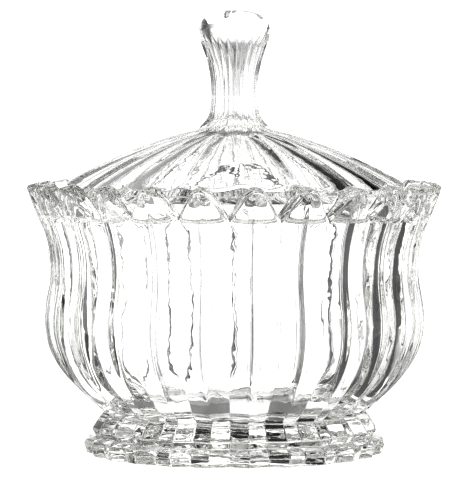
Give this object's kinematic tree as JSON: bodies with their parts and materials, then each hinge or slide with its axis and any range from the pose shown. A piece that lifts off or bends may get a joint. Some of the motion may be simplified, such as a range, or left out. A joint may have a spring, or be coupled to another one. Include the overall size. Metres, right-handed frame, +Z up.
{
  "type": "covered candy dish",
  "caption": "Clear pressed-glass candy dish: a ribbed tulip bowl on a stepped foot with a scalloped crown, closed by a fluted domed lid with a tall waisted knob.",
  "frame": {"origin": "centre of the foot's underside, on the table that the dish stands on", "axes": "+Z up along the dish's round axis, through the knob; -Y towards the viewer of the picture"},
  "size_m": [0.1492, 0.1492, 0.1597],
  "materials": {
    "clear_glass": "fire-polished clear pressed glass"
  },
  "bodies": {
    "dish": {"bowl": "clear_glass"},
    "cover": {"lid": "clear_glass"}
  },
  "joints": [
    {"name": "lid_lift", "type": "slide", "parent": "dish", "child": "cover", "axis": [0, 0, 1], "range_m": [0, 0.12]}
  ]
}
